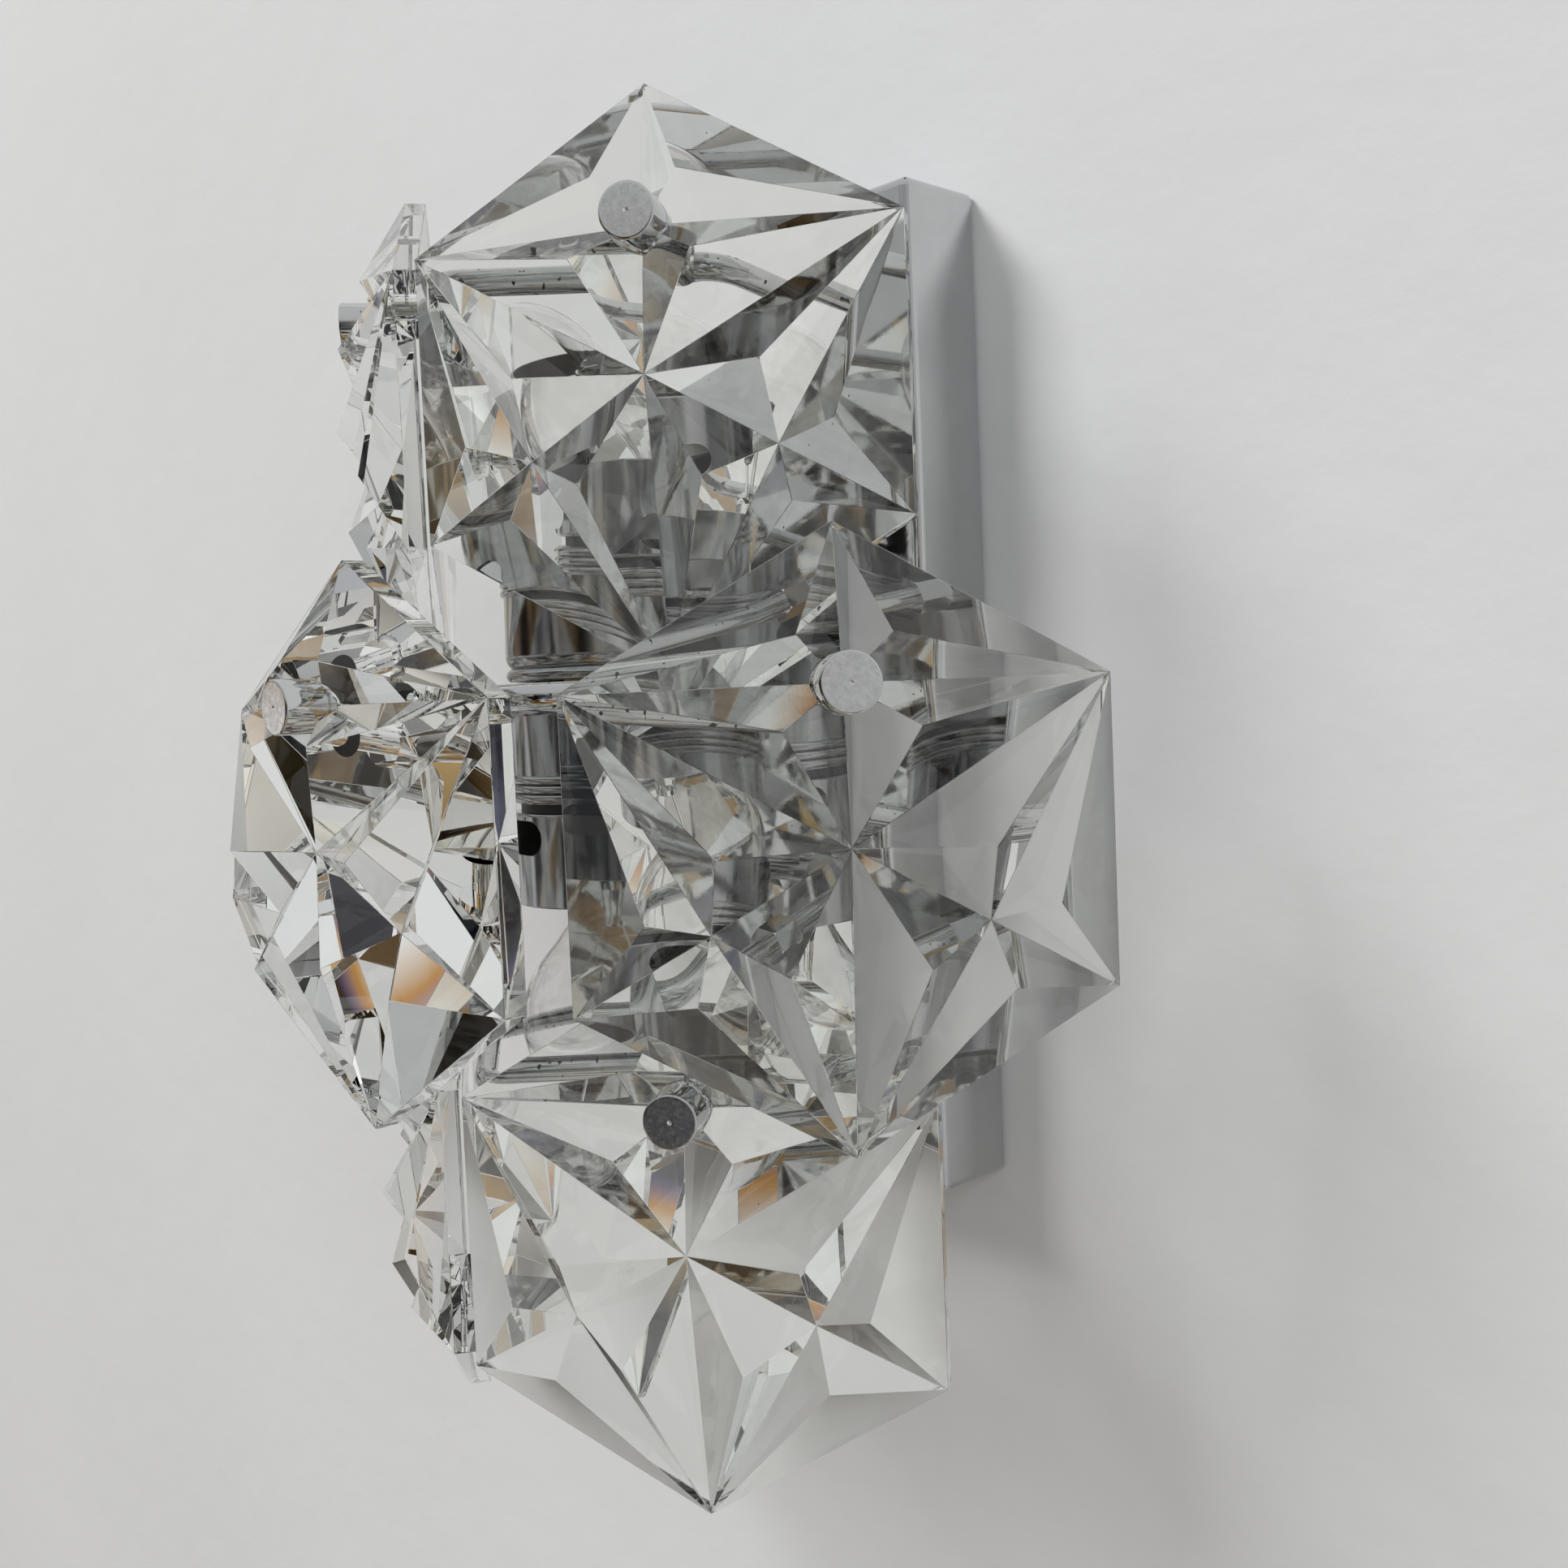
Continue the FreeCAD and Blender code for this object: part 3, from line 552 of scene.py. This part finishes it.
def plasterWall():
    shape = bmesh.new()
    bmesh.ops.create_grid(shape, x_segments=1, y_segments=1, size=wallLook["size"])
    upright = Matrix.Rotation(math.radians(90), 3, "X")
    bmesh.ops.rotate(shape, verts=shape.verts, cent=(0, 0, 0), matrix=upright)
    bmesh.ops.translate(shape, verts=shape.verts, vec=(0, wallLook["behind"], 0))
    mesh = bpy.data.meshes.new("plasterWall")
    shape.to_mesh(mesh)
    shape.free()
    wall = bpy.data.objects.new("plasterWall", mesh)
    bpy.context.scene.collection.objects.link(wall)
    dress(wall, plaster())


plasterWall()
print("wall done")


lamps = {
    "skyLamp": {
        "place": (-2.55, -3.3, 3.75), "size": (2.2, 1.5), "power": 250.0, "colour": (1, 1, 1),
    },
    "sideLamp": {
        "place": (1.7, -0.9, 0.6), "size": (0.5, 1.2), "power": 13.0, "colour": (0.96, 0.98, 1.0),
    },
}


def areaLamp(name, look):
    # a soft lamp that lights the wall and isn't itself seen in chrome or glass
    data = bpy.data.lights.new(name, "AREA")
    data.shape = "RECTANGLE"
    data.size, data.size_y = look["size"]
    data.energy = look["power"]
    data.color = look["colour"]
    lamp = bpy.data.objects.new(name, data)
    bpy.context.scene.collection.objects.link(lamp)
    lamp.location = look["place"]
    lamp.rotation_mode = "QUATERNION"
    lamp.rotation_quaternion = (-Vector(look["place"])).to_track_quat("-Z", "Y")
    lamp.visible_glossy = False
    lamp.visible_transmission = False


for name, look in lamps.items():
    areaLamp(name, look)
print("lamps:", len(lamps))


roomLook = {
    # brightness of the room by height, as (share of the way from the floor to the ceiling, colour)
    "heights": [(0.0, (0.42, 0.40, 0.37)), (0.30, (0.25, 0.235, 0.21)), (0.36, (0.08, 0.09, 0.15)),
                (0.41, (0.012, 0.011, 0.018)), (0.53, (0.014, 0.014, 0.016)),
                (0.57, (0.25, 0.17, 0.07)), (0.61, (0.28, 0.285, 0.29)),
                (0.70, (0.57, 0.58, 0.59)), (1.0, (0.64, 0.64, 0.64))],
    "wood": (0.20, 0.125, 0.05, 1.0),
    "woodSize": 1.9,
    "woodEdge": (0.52, 0.57),
    "woodBelow": (0.50, 0.58),           # heights between which the wood ends
    "clutter": 0.95,                     # how much the things in the room stand out
    "clutterSize": 5.0,
    "clutterEdge": (0.40, 0.60),
    "clutterBelow": (0.57, 0.66),
    "rightSide": (0.52, 0.53, 0.54, 1.0),
    "rightShare": 0.9,
    "rightEdge": (0.55, 0.95),
    "window": (-0.886, -0.413, -0.208),  # the way to a bright window on the left
    "windowEdge": (0.962, 0.980),        # cosine where it starts and where it is full
    "windowFade": 0.3,
    "windowGlow": [(0.0, (0.10, 0.12, 0.40)), (0.35, (0.45, 0.22, 0.05)),
                   (0.7, (0.72, 0.72, 0.70)), (1.0, (0.74, 0.75, 0.76))],
}


def roomLight():
    # pale above and on the right, dark in front of the wall, with some wood, clutter and a window
    world = bpy.data.worlds.new("room")
    bpy.context.scene.world = world
    world.use_nodes = True
    tree = world.node_tree
    way = tree.nodes.new("ShaderNodeTexCoord").outputs["Generated"]
    split = tree.nodes.new("ShaderNodeSeparateXYZ")
    tree.links.new(way, split.inputs["Vector"])
    height = spread(tree, split.outputs["Z"], 0.0, 1.0, -1.0, 1.0)
    tone = ramp(tree, height, [(level, (*colour, 1)) for level, colour in roomLook["heights"]])
    patches = noise(tree, way, roomLook["woodSize"], 1.0, 0.4)
    woody = spread(tree, patches, 0.0, 1.0, *roomLook["woodEdge"])
    low = spread(tree, height, 1.0, 0.0, *roomLook["woodBelow"])
    warmed = blend(tree, maths(tree, "MULTIPLY", woody, low), tone, roomLook["wood"])
    things = noise(tree, way, roomLook["clutterSize"], 0.0)
    contrast = spread(tree, things, -roomLook["clutter"], roomLook["clutter"], *roomLook["clutterEdge"])
    where = spread(tree, height, 1.0, 0.0, *roomLook["clutterBelow"])
    cluttered = tree.nodes.new("ShaderNodeVectorMath")
    cluttered.operation = "SCALE"
    tree.links.new(warmed, cluttered.inputs[0])
    tree.links.new(maths(tree, "MULTIPLY_ADD", contrast, where, 1.0), cluttered.inputs["Scale"])
    side = spread(tree, split.outputs["X"], 0.0, roomLook["rightShare"], *roomLook["rightEdge"])
    lit = blend(tree, side, cluttered.outputs["Vector"], roomLook["rightSide"])
    toWindow = tree.nodes.new("ShaderNodeVectorMath")
    toWindow.operation = "DOT_PRODUCT"
    tree.links.new(way, toWindow.inputs[0])
    toWindow.inputs[1].default_value = roomLook["window"]
    inWindow = spread(tree, toWindow.outputs["Value"], 0.0, 1.0, *roomLook["windowEdge"])
    glow = ramp(tree, inWindow, [(level, (*colour, 1)) for level, colour in roomLook["windowGlow"]])
    shown = spread(tree, inWindow, 0.0, 1.0, 0.0, roomLook["windowFade"])
    tree.links.new(blend(tree, shown, lit, glow), tree.nodes["Background"].inputs["Color"])


roomLight()
print("room done")


cameraView = {
    "place": (0.2848, -0.2731, 0.0021),
    "right": (0.68913, 0.72336, -0.04292),
    "up": (-0.01415, 0.07266, 0.99726),
    "back": (0.72450, -0.68663, 0.06031),
    "sensor": 36.0,
    "lens": 35.51,
    "nearest": 10 * mm,
}


def photoCamera():
    data = bpy.data.cameras.new("photoCamera")
    data.sensor_width = cameraView["sensor"]
    data.lens = cameraView["lens"]
    data.clip_start = cameraView["nearest"]
    camera = bpy.data.objects.new("photoCamera", data)
    bpy.context.scene.collection.objects.link(camera)
    turn = Matrix((cameraView["right"], cameraView["up"], cameraView["back"])).transposed()
    camera.matrix_world = Matrix.Translation(cameraView["place"]) @ turn.to_4x4()
    bpy.context.scene.camera = camera


photoCamera()

scene = bpy.context.scene
scene.view_settings.view_transform = "Standard"
scene.cycles.max_bounces = 24
scene.cycles.transmission_bounces = 24
scene.cycles.glossy_bounces = 8
scene.cycles.transparent_max_bounces = 16
